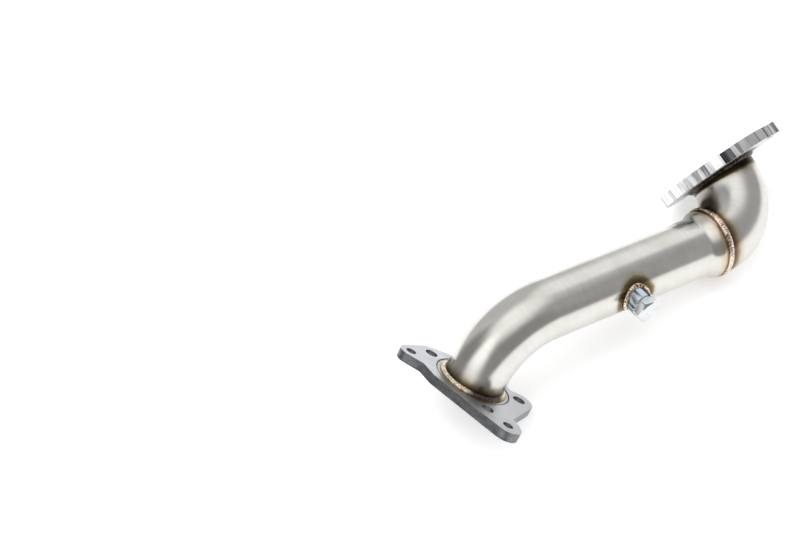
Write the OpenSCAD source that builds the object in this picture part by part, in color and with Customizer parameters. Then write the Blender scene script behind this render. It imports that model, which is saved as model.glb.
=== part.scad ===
// Short turbo downpipe: a bent stainless pipe with a flanged outlet, a tight elbow up to the
// turbo flange, welded joints, and a plugged sensor bung on the straight run.
// The pieces are drawn in the outlet flange's frame and laid down together on the floor.

/* [Main pipe] */
// Outside diameter of the main pipe
pipe_od = 63.5; // [58:0.5:66]
// Wall of the main pipe
pipe_wall = 1.6; // [1.2:0.1:2.5]
// Straight pipe between the outlet flange and the bend
outlet_lead = 16; // [10:0.5:40]
// Centre-line radius of the mandrel bend
bend_r = 90; // [70:1:130]
// Angle of the mandrel bend
bend_angle = 57; // [40:1:75]
// Straight run from the bend to the elbow weld
run_length = 206.5; // [190:0.5:260]
// Length of the flare that opens the pipe to the elbow
flare_length = 14; // [8:0.5:20]
// Straight land between the flare and the elbow weld
flare_land = 6; // [4:0.5:12]

/* [Inlet elbow] */
// Outside diameter of the elbow
elbow_od = 73; // [70:0.5:76]
// Wall of the elbow
elbow_wall = 2; // [1.5:0.1:3]
// Centre-line radius of the elbow
elbow_r = 52; // [46:0.5:70]
// Angle of the elbow
elbow_angle = 99.5; // [80:0.5:110]
// Roll of the elbow about the straight run, from the plane of the bend
elbow_roll = 129; // [110:1:150]
// Straight part of the elbow at its weld to the pipe
elbow_lead = 4; // [3.5:0.5:10]
// Straight part of the elbow behind the turbo flange
elbow_tail = 5; // [4.5:0.5:15]

/* [Outlet flange] */
// Thickness of the outlet flange
outlet_plate = 10; // [8:0.5:14]
// Width of the hub's rim round the recess
hub_rim = 7.1; // [5:0.1:10]
// Room in the recess round the weld that lies in it
recess_margin = 2.25; // [1:0.05:4]
// Depth of the recess
recess_depth = 1.5; // [0.5:0.1:3]
// Diameter of the three joint bolt holes
joint_hole_d = 13; // [10:0.5:14]
// How far the joint bolt holes stand out past the hub
joint_out = 4.9; // [2.5:0.1:9]
// Angle of the joint hole in the upper ear
upper_joint_angle = 118; // [112:1:124]
// Angle of the joint hole in the side ear
side_joint_angle = -29; // [-34:1:-24]
// Angle of the joint hole beside the lower arm
lower_joint_angle = -108; // [-112:1:-104]
// Diameter of the two bracket holes
bracket_hole_d = 10.5; // [6:0.5:12]
// How far the upper bracket hole stands out past the hub
upper_arm_out = 21.4; // [16:0.1:32]
// Angle of the upper bracket hole
upper_arm_angle = 140.5; // [136:0.5:145]
// How far the lower bracket hole stands out past the hub
lower_arm_out = 28.9; // [24:0.1:38]
// Angle of the lower bracket hole
lower_arm_angle = -96.5; // [-100:0.5:-94]

/* [Turbo flange] */
// Thickness of the turbo flange
turbo_plate = 12.5; // [9:0.5:16]
// Radius of the turbo flange
turbo_r = 68; // [64:0.5:75]
// Angle of the long ear about the flange's axis
ear_angle = 142.5; // [130:0.5:155]
// How far the long ear stands out past the flange's radius
ear_reach = 7.5; // [4:0.5:12]
// Radius of the long ear's round end
ear_r = 11.5; // [9:0.5:14]
// Diameter of the five stud holes
stud_hole_d = 10.5; // [8:0.5:12]
// Distance of the four stud holes outside the long ear from the flange's radius
stud_edge = 11; // [9:0.5:14]

/* [Welds] */
// Leg of the fillet weld at the outlet flange
outlet_bead = 5.5; // [4:0.1:6.5]
// Leg of the fillet weld at the turbo flange
turbo_bead = 4.5; // [3:0.1:4.5]
// Width of the weld between the pipe and the elbow
elbow_bead = 6; // [4:0.1:6.5]
// Height of that weld over the elbow's surface
elbow_bead_height = 1.2; // [0.6:0.1:2]
// Gap between the pipe and the elbow that the weld fills
root_gap = 1.5; // [1:0.1:2.5]
// Leg of the fillet weld round the sensor bung
bung_bead = 3.5; // [2:0.1:4.5]
// How far the pipe ends lie behind the flange faces
setback = 2.5; // [2.2:0.1:4]

/* [Sensor bung] */
// Outside diameter of the bung
bung_od = 26.5; // [24:0.5:30]
// Height of the bung over the pipe
bung_height = 13; // [10:0.5:18]
// Thread diameter of the bung
thread_d = 18; // [16:0.5:20]
// Distance of the bung's axis from the elbow weld
bung_back = 118; // [70:1:130]
// Angle of the bung about the straight run
bung_angle = -84; // [-100:1:-70]
// Width across the flats of the plug's hexagon
plug_flats = 24; // [22:0.5:27]
// Height of the plug's hexagon
plug_height = 8.5; // [6:0.5:12]
// Length of the plug's thread
plug_thread = 12.5; // [8:0.5:15]
// Thickness of the sealing washer
washer_thickness = 1.5; // [1:0.1:3]
// Outside diameter of the sealing washer
washer_od = 24.5; // [22:0.5:26]

/* [Resting pose] */
// Lean about X that lays the part on its outlet flange, turbo flange and elbow
rest_lean = -14.38; // [-20:0.01:-10]
// Tip about Y that goes with it
rest_tip = 43.67; // [38:0.01:48]
// Turn about the vertical that lays the straight run along X
rest_turn = -7.93; // [-12:0.01:-4]
// Shift along X that centres the part over the origin
rest_x = -191.38; // [-200:0.01:-180]
// Shift along Y that centres the part over the origin
rest_y = -13.14; // [-20:0.01:-5]
// Lift that sets the lowest point on the floor
rest_lift = 37.32; // [30:0.01:45]

/* [Hidden] */
$fn = 96;

// Clearance of a pipe in its flange, of the bung in the pipe and of the plug's thread, on the radius
slip = 0.1;
// Length by which a cutting shape runs past the faces it cuts
past = 1;
// The wall thins a little on both faces in a bend, and the straight lengths lap over the bend's ends
bend_thinning = 0.05;
bend_lap = 1;

pipe_r = pipe_od / 2;
pipe_bore_r = pipe_r - pipe_wall;
elbow_out_r = elbow_od / 2;
elbow_bore_r = elbow_out_r - elbow_wall;
bung_r = bung_od / 2;
// The part of the straight run before the flare
plain_run = run_length - flare_length - flare_land;
// The recess clears the weld, and the hub and its holes follow the recess
recess_r = pipe_r + outlet_bead + recess_margin;
hub_r = recess_r + hub_rim;
joint_pitch_r = hub_r + joint_out;
stud_pitch_r = turbo_r - stud_edge;

// How flat a fillet weld's face is: 0 is a quarter round, larger is flatter
bead_flatness = 0.35;
// How far a fillet weld's toe ends short of its leg
bead_toe = 0.06;
// Steps of the flare's curve and of the weld round the bung
flare_steps = 8;
saddle_steps = 72;

// Ear radii of the outlet flange
upper_ear_r = 14.6;
side_ear_r = 15;
arm_ear_r = 11.5;
lower_ear_r = 14.5;
// Flank of the outlet flange beside the hub and the inner corner of the notch over the lower arm
flank_out = 3.4;
flank_top = 22;
flank_low = 2;
notch_side = 7.3;
notch_out = 16.9;
flank_x = -hub_r - flank_out;
notch = [notch_side, -hub_r - notch_out];

// Flats of the turbo flange's rim on each side of the long ear: [angle from the ear, half width]
rim_flats = [[36.5, 7.9], [50, 5.6], [63.3, 7.7], [90.2, 8.8], [109, 9.5]];
// Scallops between them: [angle from the ear, radius of the cutter, depth]
rim_scallops = [[24.3, 5.5, 4.5], [76.2, 7, 5], [99.5, 2.2, 2]];
// Angles of the four stud holes from the long ear
stud_angles = [50, 125, -125, -50];

function polar(r, a) = [r * cos(a), r * sin(a)];

upper_joint = polar(joint_pitch_r, upper_joint_angle);
side_joint = polar(joint_pitch_r, side_joint_angle);
lower_joint = polar(joint_pitch_r, lower_joint_angle);
upper_bracket = polar(hub_r + upper_arm_out, upper_arm_angle);
lower_bracket = polar(hub_r + lower_arm_out, lower_arm_angle);

// Frames along the pipe. Each puts its children's origin on the pipe's axis, with Z along the flow's path
module at_rest() {
    translate([rest_x, rest_y, rest_lift])
        rotate([rest_lean, rest_tip, rest_turn])
            children();
}

module after_bend(r, angle) {
    translate([r, 0, 0]) rotate([0, angle, 0]) translate([-r, 0, 0]) children();
}

module at_run() {
    translate([0, 0, outlet_plate + outlet_lead]) after_bend(bend_r, bend_angle) children();
}

module at_elbow_weld() {
    at_run() translate([0, 0, run_length]) rotate([0, 0, elbow_roll]) children();
}

module at_turbo_flange() {
    at_elbow_weld() translate([0, 0, elbow_lead]) after_bend(elbow_r, elbow_angle)
        translate([0, 0, elbow_tail]) children();
}

module at_bung() {
    at_run() translate([0, 0, run_length - bung_back]) rotate([0, 0, bung_angle])
        rotate([0, 90, 0]) children();
}

// A straight tube along Z
module tube(r_out, r_in, h) {
    difference() {
        cylinder(r = r_out, h = h);
        translate([0, 0, -past]) cylinder(r = r_in, h = h + 2 * past);
    }
}

// A bent tube that starts along Z and turns towards X
module bent_tube(r, angle, r_out, r_in) {
    translate([r, 0, 0]) rotate([90, 0, 180])
        rotate_extrude(angle = angle) translate([r, 0]) difference() {
            circle(r = r_out - bend_thinning);
            circle(r = r_in + bend_thinning);
        }
}

// The flare's radius grows with a smooth S over its length, from 0 to 1 of the way
function flare_grow(t) = (1 - cos(180 * t)) / 2;
function flare_line(r0, r1, steps) =
    [for (i = [0:steps]) [r0 + (r1 - r0) * flare_grow(i / steps), flare_length * i / steps]];

// The flared end of the main pipe, with the land that meets the weld
module flared_end() {
    outer = flare_line(pipe_r, elbow_out_r, flare_steps);
    inner = flare_line(pipe_bore_r, elbow_out_r - pipe_wall, flare_steps);
    length = flare_length + flare_land - root_gap / 2;
    rotate_extrude() polygon(concat(
        outer,
        [[elbow_out_r, length], [elbow_out_r - pipe_wall, length]],
        [for (i = [flare_steps:-1:0]) inner[i]]));
}

// A fillet weld on the plane z = 0 round a pipe of radius r
module fillet_bead(r, leg) {
    flat = leg * bead_flatness;
    rotate_extrude() translate([r, 0]) intersection() {
        square(leg);
        translate([-flat, -flat]) circle(r = norm([leg + flat, flat]) - bead_toe);
    }
}

// The fillet in the corner between a set-back pipe end at z = 0 and the flange bore of radius r
module root_bead(r, leg) {
    rotate_extrude() translate([r, 0]) intersection() {
        translate([-leg, -leg]) square(leg);
        circle(r = leg);
    }
}

// The two outer tangent points on one side of two circles: side is 1 on the left, -1 on the right
function tangent(p1, r1, p2, r2, side) =
    let (d = p2 - p1, l = norm(d), u = d / l, n = side * [-u.y, u.x], c = (r1 - r2) / l, s = sqrt(1 - c * c))
    [p1 + r1 * (c * u + s * n), p2 + r2 * (c * u + s * n)];

// A plate outline between two round ends
module link(p1, r1, p2, r2) {
    right = tangent(p1, r1, p2, r2, -1);
    left = tangent(p1, r1, p2, r2, 1);
    polygon([right[0], right[1], left[1], left[0]]);
    translate(p1) circle(r = r1);
    translate(p2) circle(r = r2);
}

// The outline of the outlet flange: a hub, three ears and two bracket arms
module outlet_outline() {
    centre = [0, 0];
    hub_left = tangent(centre, hub_r, lower_bracket, lower_ear_r, -1);
    side_low = tangent(notch, 0.01, side_joint, side_ear_r, -1)[1];
    arm_left = tangent(upper_bracket, arm_ear_r, [flank_x, flank_top], 0.01, -1)[0];
    circle(r = hub_r);
    link(upper_joint, upper_ear_r, centre, hub_r);
    link(upper_bracket, arm_ear_r, upper_joint, upper_ear_r);
    link(side_joint, side_ear_r, side_joint / 2, side_ear_r);
    polygon([centre, upper_joint, upper_bracket, arm_left, [flank_x, flank_top],
        [flank_x, flank_low], hub_left[0]]);
    polygon([centre, hub_left[0], hub_left[1], lower_bracket,
        [notch.x, lower_bracket.y], notch, side_low, side_joint]);
    translate(lower_bracket) circle(r = lower_ear_r);
}

module outlet_flange() {
    color("lightsteelblue") at_rest() difference() {
        linear_extrude(height = outlet_plate) outlet_outline();
        translate([0, 0, -past]) cylinder(r = pipe_r + slip, h = outlet_plate + 2 * past);
        translate([0, 0, outlet_plate - recess_depth])
            cylinder(r = recess_r, h = recess_depth + past);
        for (p = [upper_joint, side_joint, lower_joint])
            translate([p.x, p.y, -past]) cylinder(d = joint_hole_d, h = outlet_plate + 2 * past);
        for (p = [upper_bracket, lower_bracket])
            translate([p.x, p.y, -past]) cylinder(d = bracket_hole_d, h = outlet_plate + 2 * past);
    }
}

module outlet_weld() {
    color("peru") at_rest() translate([0, 0, outlet_plate - recess_depth])
        fillet_bead(pipe_r, outlet_bead);
}

module outlet_root_weld() {
    color("peru") at_rest() translate([0, 0, setback]) root_bead(pipe_r + slip, pipe_wall + slip);
}

module main_pipe() {
    color("silver") at_rest() difference() {
        union() {
            translate([0, 0, setback])
                tube(pipe_r, pipe_bore_r, outlet_plate + outlet_lead - setback + bend_lap);
            translate([0, 0, outlet_plate + outlet_lead])
                bent_tube(bend_r, bend_angle, pipe_r, pipe_bore_r);
            at_run() {
                translate([0, 0, -bend_lap]) tube(pipe_r, pipe_bore_r, plain_run + bend_lap);
                translate([0, 0, plain_run]) flared_end();
            }
        }
        at_bung() cylinder(r = bung_r + slip, h = pipe_od);
    }
}

module elbow_weld() {
    half = elbow_bead / 2;
    bead_r = (half * half + elbow_bead_height * elbow_bead_height) / (2 * elbow_bead_height);
    thin_wall = min(pipe_wall, elbow_wall);
    color("peru") at_rest() at_elbow_weld() rotate_extrude() {
        intersection() {
            translate([elbow_out_r - bead_r + elbow_bead_height, 0]) circle(r = bead_r);
            translate([elbow_out_r, -half]) square([elbow_bead_height, elbow_bead]);
        }
        translate([elbow_out_r - thin_wall, -root_gap / 2]) square([thin_wall, root_gap]);
    }
}

module inlet_elbow() {
    color("silver") at_rest() {
        at_elbow_weld() {
            translate([0, 0, root_gap / 2])
                tube(elbow_out_r, elbow_bore_r, elbow_lead - root_gap / 2 + bend_lap);
            translate([0, 0, elbow_lead])
                bent_tube(elbow_r, elbow_angle, elbow_out_r, elbow_bore_r);
        }
        at_turbo_flange() translate([0, 0, -elbow_tail - bend_lap])
            tube(elbow_out_r, elbow_bore_r, elbow_tail + turbo_plate - setback + bend_lap);
    }
}

module turbo_weld() {
    color("saddlebrown") at_rest() at_turbo_flange() mirror([0, 0, 1])
        fillet_bead(elbow_out_r, turbo_bead);
}

module turbo_root_weld() {
    color("peru") at_rest() at_turbo_flange() translate([0, 0, turbo_plate - setback])
        mirror([0, 0, 1]) root_bead(elbow_out_r + slip, elbow_wall + slip);
}

// One side's flats and scallops of the turbo flange's rim
module rim_cuts() {
    for (f = rim_flats)
        rotate(f[0]) translate([turbo_r * cos(f[1]), -turbo_r * sin(f[1])])
            square([turbo_r, 2 * turbo_r * sin(f[1])]);
    for (s = rim_scallops)
        rotate(s[0]) translate([turbo_r - s[2] + s[1], 0]) circle(r = s[1]);
}

module turbo_flange() {
    stud_ear = turbo_r + ear_reach - ear_r;
    color("silver") at_rest() at_turbo_flange() rotate([0, 0, ear_angle]) difference() {
        linear_extrude(height = turbo_plate) {
            difference() {
                circle(r = turbo_r);
                rim_cuts();
                mirror([0, 1]) rim_cuts();
            }
            translate([stud_ear, 0]) circle(r = ear_r);
        }
        translate([0, 0, -past]) cylinder(r = elbow_out_r + slip, h = turbo_plate + 2 * past);
        translate([stud_ear, 0, -past]) cylinder(d = stud_hole_d, h = turbo_plate + 2 * past);
        for (a = stud_angles)
            rotate([0, 0, a]) translate([stud_pitch_r, 0, -past])
                cylinder(d = stud_hole_d, h = turbo_plate + 2 * past);
    }
}

module sensor_bung() {
    chamfer = 1;
    color("gainsboro") at_rest() at_bung() difference() {
        rotate_extrude() polygon([[0, 0], [bung_r, 0], [bung_r, pipe_r + bung_height - chamfer],
            [bung_r - chamfer, pipe_r + bung_height], [0, pipe_r + bung_height]]);
        rotate([0, 90, 0]) translate([0, 0, -bung_od]) cylinder(r = pipe_bore_r, h = 2 * bung_od);
        cylinder(d = thread_d, h = pipe_r + bung_height + past);
    }
}

// Height of the pipe's surface at radius r and angle a about the bung
function saddle(r, a) = sqrt(pipe_r * pipe_r - pow(r * sin(a), 2));

// One section of the weld round the bung: foot, toe, three points of the face, and the top
function saddle_section(a) =
    let (r0 = bung_r, foot = saddle(r0, a), toe = saddle(r0 + bung_bead, a))
    [for (p = [[0, foot], [1, toe], [0.86, toe + 0.35 * bung_bead], [0.62, foot + 0.62 * bung_bead],
            [0.35, foot + 0.86 * bung_bead], [0, foot + bung_bead]])
        [(r0 + p[0] * bung_bead) * cos(a), (r0 + p[0] * bung_bead) * sin(a), p[1]]];

module bung_weld() {
    points = [for (i = [0:saddle_steps - 1]) each saddle_section(360 * i / saddle_steps)];
    sides = 6;
    function at(i, j) = (i % saddle_steps) * sides + j % sides;
    faces = [for (i = [0:saddle_steps - 1], j = [0:sides - 1])
        each [[at(i, j), at(i, j + 1), at(i + 1, j + 1)], [at(i, j), at(i + 1, j + 1), at(i + 1, j)]]];
    color("peru") at_rest() at_bung() polyhedron(points = points, faces = faces);
}

module plug_washer() {
    color("gainsboro") at_rest() at_bung() translate([0, 0, pipe_r + bung_height])
        tube(washer_od / 2, thread_d / 2, washer_thickness);
}

module bung_plug() {
    corner_r = plug_flats / 2 / cos(30);
    chamfer = corner_r - plug_flats / 2;
    color("lightcyan") at_rest() at_bung() translate([0, 0, pipe_r + bung_height + washer_thickness]) {
        intersection() {
            cylinder(r = corner_r, h = plug_height, $fn = 6);
            rotate_extrude() polygon([[0, 0], [corner_r, 0], [corner_r, plug_height - chamfer / 2],
                [corner_r - chamfer, plug_height], [0, plug_height]]);
        }
        translate([0, 0, -plug_thread]) cylinder(r = thread_d / 2 - slip, h = plug_thread);
    }
}

outlet_flange();
outlet_weld();
outlet_root_weld();
main_pipe();
elbow_weld();
inlet_elbow();
turbo_weld();
turbo_root_weld();
turbo_flange();
sensor_bung();
bung_weld();
plug_washer();
bung_plug();
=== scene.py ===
"""Looks of a short turbo downpipe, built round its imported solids.

The part is a bent stainless tube with a lobed outlet flange, a tight elbow up to a scalloped
turbo flange, rippled weld beads with their heat tint, and a sensor bung closed by a plug.
Lengths are in millimetres in the classes below and become metres when a mesh is made.
"""

import logging
import math
from dataclasses import dataclass, field
from enum import Enum
from typing import Callable, Dict, List, Optional, Sequence, Tuple

import bmesh
import bpy
import numpy as np
from mathutils import Matrix, Vector, noise


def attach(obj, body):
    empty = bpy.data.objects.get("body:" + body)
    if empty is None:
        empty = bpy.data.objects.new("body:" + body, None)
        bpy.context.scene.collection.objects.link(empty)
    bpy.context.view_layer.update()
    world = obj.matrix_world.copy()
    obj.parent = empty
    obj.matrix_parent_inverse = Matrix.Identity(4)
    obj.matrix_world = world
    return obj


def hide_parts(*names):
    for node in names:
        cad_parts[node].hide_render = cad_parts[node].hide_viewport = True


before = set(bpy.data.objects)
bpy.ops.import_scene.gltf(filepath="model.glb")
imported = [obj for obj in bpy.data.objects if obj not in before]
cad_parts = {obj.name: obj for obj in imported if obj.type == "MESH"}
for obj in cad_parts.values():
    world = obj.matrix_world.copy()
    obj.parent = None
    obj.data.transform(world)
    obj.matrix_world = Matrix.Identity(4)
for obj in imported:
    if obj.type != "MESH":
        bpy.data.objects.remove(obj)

LOG = logging.getLogger("downpipe")
BODY = "root"
MM = 0.001
FAR = 500.0
Triple = Tuple[float, float, float]
Fields = Dict[str, np.ndarray]


class Slot(Enum):
    """Material slots of the record that the pieces' finishes belong to."""

    TUBE = "brushed_tube"
    ELBOW = "brushed_elbow"
    PLATE = "cut_plate"
    FLANGE = "machined_flange"
    WELD = "weld_bead"
    DARK_WELD = "dark_weld"
    BUNG = "turned_bung"
    PLUG = "zinc_plug"


class Side(Enum):
    """Which side of its plane a fillet bead stands on."""

    FRONT = 1.0
    BACK = -1.0


# ---------------------------------------------------------------- the pipe's route


@dataclass(frozen=True)
class RestPose:
    """How the part lies on the floor, as the solids do."""

    lean_deg: float = -14.38
    tip_deg: float = 43.67
    turn_deg: float = -7.93
    shift: Triple = (-191.38, -13.14, 37.32)

    def matrix(self) -> Matrix:
        """Returns the pose of the outlet flange's frame in the world."""
        turn = Matrix.Rotation(math.radians(self.turn_deg), 4, "Z")
        tip = Matrix.Rotation(math.radians(self.tip_deg), 4, "Y")
        lean = Matrix.Rotation(math.radians(self.lean_deg), 4, "X")
        return Matrix.Translation(self.shift) @ turn @ tip @ lean


@dataclass(frozen=True)
class Route:
    """The pipe's centre line, and the frames that the pieces are built in."""

    pose: RestPose = RestPose()
    plate: float = 10.0
    lead: float = 16.0
    bend_r: float = 90.0
    bend_angle: float = 57.0
    run: float = 206.5
    roll: float = 129.0
    elbow_lead: float = 4.0
    elbow_r: float = 52.0
    elbow_angle: float = 99.5
    elbow_tail: float = 5.0
    bung_back: float = 118.0
    bung_angle: float = -84.0

    @staticmethod
    def bent(radius: float, angle: float) -> Matrix:
        """Returns the step along a bend that turns from Z towards X."""
        out = Matrix.Translation((radius, 0, 0))
        return out @ Matrix.Rotation(math.radians(angle), 4, "Y") @ out.inverted()

    def outlet(self) -> Matrix:
        """Returns the frame on the outlet flange's sealing face."""
        return self.pose.matrix()

    def bend(self, angle: float) -> Matrix:
        """Returns the frame at an angle along the mandrel bend."""
        return self.outlet() @ Matrix.Translation((0, 0, self.plate + self.lead)) @ self.bent(self.bend_r, angle)

    def straight(self, along: float) -> Matrix:
        """Returns the frame at a distance along the straight run."""
        return self.bend(self.bend_angle) @ Matrix.Translation((0, 0, along))

    def weld(self) -> Matrix:
        """Returns the frame of the weld between the run and the elbow."""
        return self.straight(self.run) @ Matrix.Rotation(math.radians(self.roll), 4, "Z")

    def elbow(self, angle: float) -> Matrix:
        """Returns the frame at an angle along the elbow."""
        return self.weld() @ Matrix.Translation((0, 0, self.elbow_lead)) @ self.bent(self.elbow_r, angle)

    def turbo(self) -> Matrix:
        """Returns the frame on the back face of the turbo flange."""
        return self.elbow(self.elbow_angle) @ Matrix.Translation((0, 0, self.elbow_tail))

    def bung(self) -> Matrix:
        """Returns the frame of the sensor bung, with Z out of the pipe from its axis."""
        foot = self.straight(self.run - self.bung_back)
        turn = Matrix.Rotation(math.radians(self.bung_angle), 4, "Z")
        return foot @ turn @ Matrix.Rotation(math.radians(90), 4, "Y")


# ---------------------------------------------------------------- mesh makers


def world_points(points: np.ndarray, place: Matrix) -> np.ndarray:
    """Moves points from a piece's frame to the world.

    Args:
        points: Array whose last axis holds x, y and z in the piece's frame.
        place: The frame's pose.

    Returns:
        The moved points, in the same layout.
    """
    pose = np.array(place)
    return points @ pose[:3, :3].T + pose[:3, 3]


def wobble(x: float, y: float, z: float, seed: float = 0.0) -> float:
    """Returns smooth noise between about -1 and 1 at a point, the same on every run."""
    return noise.noise(Vector((x + seed, y - seed, z + 0.37 * seed)))


def grid_object(
    name: str,
    points: np.ndarray,
    fields: Optional[Fields] = None,
    wrap_rows: bool = False,
    wrap_cols: bool = True,
    flip: bool = False,
) -> bpy.types.Object:
    """Makes a smooth surface of quads from a grid of points.

    Args:
        name: The object's name.
        points: Array of rows, columns and x, y, z, in millimetres in the world.
        fields: Values kept on the points for the finish, one number or three each.
        wrap_rows: Whether the last row joins the first.
        wrap_cols: Whether the last column joins the first.
        flip: Whether the faces turn over.

    Returns:
        The new object, linked to the scene.
    """
    rows, cols = points.shape[:2]
    i = np.arange(rows if wrap_rows else rows - 1)
    j = np.arange(cols if wrap_cols else cols - 1)
    a, b = np.meshgrid(i, j, indexing="ij")
    a1, b1 = (a + 1) % rows, (b + 1) % cols
    quads = np.stack([a * cols + b, a * cols + b1, a1 * cols + b1, a1 * cols + b], -1).reshape(-1, 4)
    if flip:
        quads = quads[:, ::-1]
    mesh = bpy.data.meshes.new(name)
    mesh.from_pydata((points.reshape(-1, 3) * MM).tolist(), [], quads.tolist())
    for key, values in (fields or {}).items():
        keep_field(mesh, key, values.reshape(rows * cols, -1))
    mesh.polygons.foreach_set("use_smooth", [True] * len(mesh.polygons))
    mesh.update()
    obj = bpy.data.objects.new(name, mesh)
    bpy.context.scene.collection.objects.link(obj)
    return obj


def keep_field(mesh: bpy.types.Mesh, key: str, values: np.ndarray) -> None:
    """Keeps one number or three on each point of a mesh.

    Args:
        mesh: The mesh.
        key: The field's name.
        values: Array of points by one or three numbers.
    """
    if values.shape[1] == 1:
        layer = mesh.attributes.new(key, "FLOAT", "POINT")
        layer.data.foreach_set("value", values.astype(np.float32).ravel())
    else:
        layer = mesh.attributes.new(key, "FLOAT_VECTOR", "POINT")
        layer.data.foreach_set("vector", values.astype(np.float32).ravel())


def dress(obj: bpy.types.Object, material: bpy.types.Material, slot: Slot, *nodes: str) -> bpy.types.Object:
    """Gives a piece its finish and its body, and lets it stand for its solids.

    Args:
        obj: The piece.
        material: Its finish.
        slot: The record's slot that the finish belongs to; not used.
        *nodes: Names of the solids that the piece replaces.

    Returns:
        The same piece.
    """
    obj.data.materials.clear()
    obj.data.materials.append(material)
    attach(obj, BODY)
    if nodes:
        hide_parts(*nodes)
    LOG.info("%s: %d faces", obj.name, len(obj.data.polygons))
    return obj


def ring_section(place: Matrix, section: np.ndarray, cols: int) -> np.ndarray:
    """Turns a section of radius and height about an axis.

    Args:
        place: The frame whose Z is the axis.
        section: Array of rows of radius and height.
        cols: Steps round the axis.

    Returns:
        Grid of world points.
    """
    angle = np.linspace(0, 2 * np.pi, cols, endpoint=False)
    radius, height = section[:, :1], section[:, 1:]
    local = np.stack([radius * np.cos(angle), radius * np.sin(angle), height + 0 * angle], -1)
    return world_points(local, place)


# ---------------------------------------------------------------- finishes


class Wiring:
    """A short way to lay and join a material's nodes."""

    def __init__(self, name: str) -> None:
        """Starts an empty material with a principled shader.

        Args:
            name: The material's name.
        """
        self.material = bpy.data.materials.new(name)
        self.material.use_nodes = True
        self.tree = self.material.node_tree
        self.tree.nodes.clear()
        self.output = self.tree.nodes.new("ShaderNodeOutputMaterial")
        self.shader = self.tree.nodes.new("ShaderNodeBsdfPrincipled")
        self.join(self.shader.outputs["BSDF"], self.output.inputs["Surface"])

    def join(self, source: bpy.types.NodeSocket, target: bpy.types.NodeSocket) -> None:
        """Links one socket to another."""
        self.tree.links.new(source, target)

    def feed(self, target: bpy.types.NodeSocket, value: object) -> None:
        """Links a socket to a value, or sets it to a plain one."""
        if isinstance(value, bpy.types.NodeSocket):
            self.join(value, target)
        else:
            target.default_value = value

    def attribute(self, key: str, vector: bool = True) -> bpy.types.NodeSocket:
        """Returns a field kept on the mesh, as a vector or a number."""
        node = self.tree.nodes.new("ShaderNodeAttribute")
        node.attribute_name = key
        return node.outputs["Vector" if vector else "Fac"]

    def math(self, kind: str, a: object, b: object = 0.0, clamp: bool = False) -> bpy.types.NodeSocket:
        """Returns the result of a sum on two numbers."""
        node = self.tree.nodes.new("ShaderNodeMath")
        node.operation = kind
        node.use_clamp = clamp
        self.feed(node.inputs[0], a)
        self.feed(node.inputs[1], b)
        return node.outputs[0]

    def scaled(self, vector: object, scale: Triple) -> bpy.types.NodeSocket:
        """Returns a vector times a scale for each axis."""
        node = self.tree.nodes.new("ShaderNodeVectorMath")
        node.operation = "MULTIPLY"
        self.feed(node.inputs[0], vector)
        node.inputs[1].default_value = scale
        return node.outputs[0]

    def parts(self, vector: object) -> Sequence[bpy.types.NodeSocket]:
        """Returns the three numbers of a vector."""
        node = self.tree.nodes.new("ShaderNodeSeparateXYZ")
        self.feed(node.inputs[0], vector)
        return node.outputs

    def reach(self, vector: object) -> bpy.types.NodeSocket:
        """Returns how far a point lies from the Z axis of its frame."""
        node = self.tree.nodes.new("ShaderNodeVectorMath")
        node.operation = "LENGTH"
        self.feed(node.inputs[0], self.scaled(vector, (1.0, 1.0, 0.0)))
        return node.outputs["Value"]

    def noise(self, vector: object, scale: float, detail: float = 2.0, rough: float = 0.5) -> bpy.types.NodeSocket:
        """Returns a noise from 0 to 1 over a vector."""
        node = self.tree.nodes.new("ShaderNodeTexNoise")
        self.feed(node.inputs["Vector"], vector)
        node.inputs["Scale"].default_value = scale
        node.inputs["Detail"].default_value = detail
        node.inputs["Roughness"].default_value = rough
        return node.outputs["Fac"]

    def spread(self, value: object, low: float, high: float, to_low: float = 0.0, to_high: float = 1.0) -> bpy.types.NodeSocket:
        """Returns a number moved from one range to another, held at its ends."""
        node = self.tree.nodes.new("ShaderNodeMapRange")
        self.feed(node.inputs["Value"], value)
        node.inputs["From Min"].default_value = low
        node.inputs["From Max"].default_value = high
        node.inputs["To Min"].default_value = to_low
        node.inputs["To Max"].default_value = to_high
        return node.outputs["Result"]

    def ramp(self, value: object, stops: Sequence[Tuple[float, Triple]]) -> bpy.types.NodeSocket:
        """Returns the colour that a ramp has at a number."""
        node = self.tree.nodes.new("ShaderNodeValToRGB")
        band = node.color_ramp
        while len(band.elements) < len(stops):
            band.elements.new(0.5)
        for element, (place, colour) in zip(band.elements, stops):
            element.position = place
            element.color = (*colour, 1.0)
        self.feed(node.inputs["Fac"], value)
        return node.outputs["Color"]

    def blend(self, kind: str, amount: object, a: object, b: object) -> bpy.types.NodeSocket:
        """Returns two colours mixed in one of Blender's ways."""
        node = self.tree.nodes.new("ShaderNodeMix")
        node.data_type = "RGBA"
        node.blend_type = kind
        self.feed(node.inputs["Factor"], amount)
        for target, value in ((node.inputs[6], a), (node.inputs[7], b)):
            self.feed(target, (*value, 1.0) if isinstance(value, tuple) else value)
        return node.outputs[2]

    def bump(self, height: object, depth_mm: float) -> None:
        """Raises the surface's shading by a height, in addition to what it has."""
        node = self.tree.nodes.new("ShaderNodeBump")
        node.inputs["Strength"].default_value = 1.0
        node.inputs["Distance"].default_value = depth_mm * MM
        self.feed(node.inputs["Height"], height)
        target = self.shader.inputs["Normal"]
        if target.is_linked:
            self.join(target.links[0].from_socket, node.inputs["Normal"])
        self.join(node.outputs["Normal"], target)

    def metal(self, colour: object, rough: object) -> bpy.types.Material:
        """Sets the shader to a metal and returns the material."""
        self.shader.inputs["Metallic"].default_value = 1.0
        self.feed(self.shader.inputs["Base Color"], (*colour, 1.0) if isinstance(colour, tuple) else colour)
        self.feed(self.shader.inputs["Roughness"], rough)
        return self.material


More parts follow.
